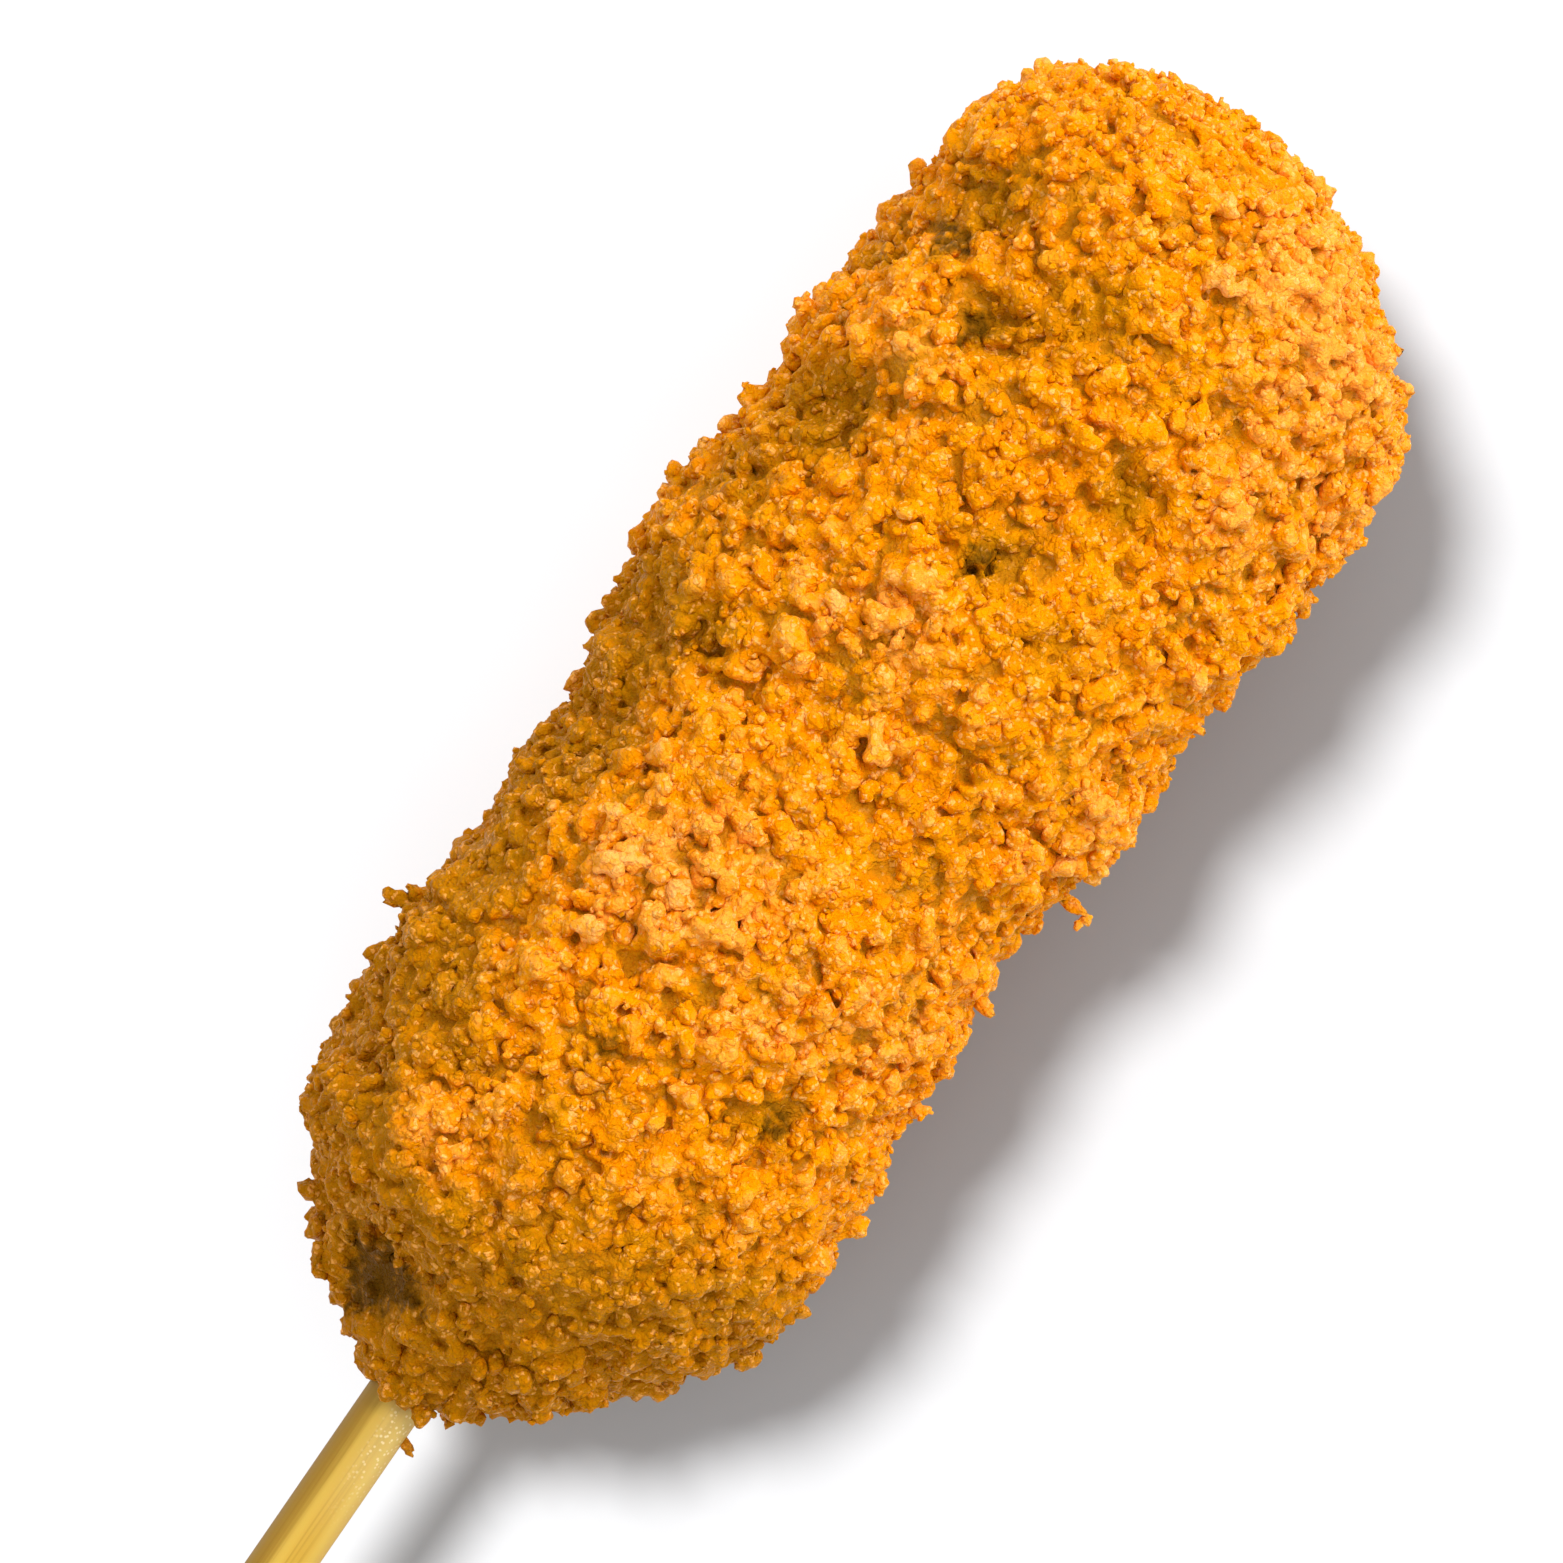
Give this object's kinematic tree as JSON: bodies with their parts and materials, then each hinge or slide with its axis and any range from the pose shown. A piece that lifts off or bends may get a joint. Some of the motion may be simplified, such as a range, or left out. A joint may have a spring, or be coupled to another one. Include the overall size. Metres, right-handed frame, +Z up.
{
  "type": "corn dog",
  "caption": "Breadcrumbed corn dog with a lumpy golden crust, a blunt tip and a round bamboo stick, lying on its side.",
  "frame": {"origin": "centre of the bottom of the box round the whole corn dog, on the surface it lies on", "axes": "+X along the stick towards the corn dog's tip, +Z up out of the surface, with the side that shows upwards"},
  "size_m": [0.2094, 0.0528, 0.0472],
  "materials": {
    "fried_crumbs": "rough, oily golden-brown breadcrumbs",
    "bamboo": "smooth, fine lengthwise grain"
  },
  "bodies": {
    "root": {"crumbed_crust": "fried_crumbs", "bamboo_stick": "bamboo"}
  },
  "joints": []
}
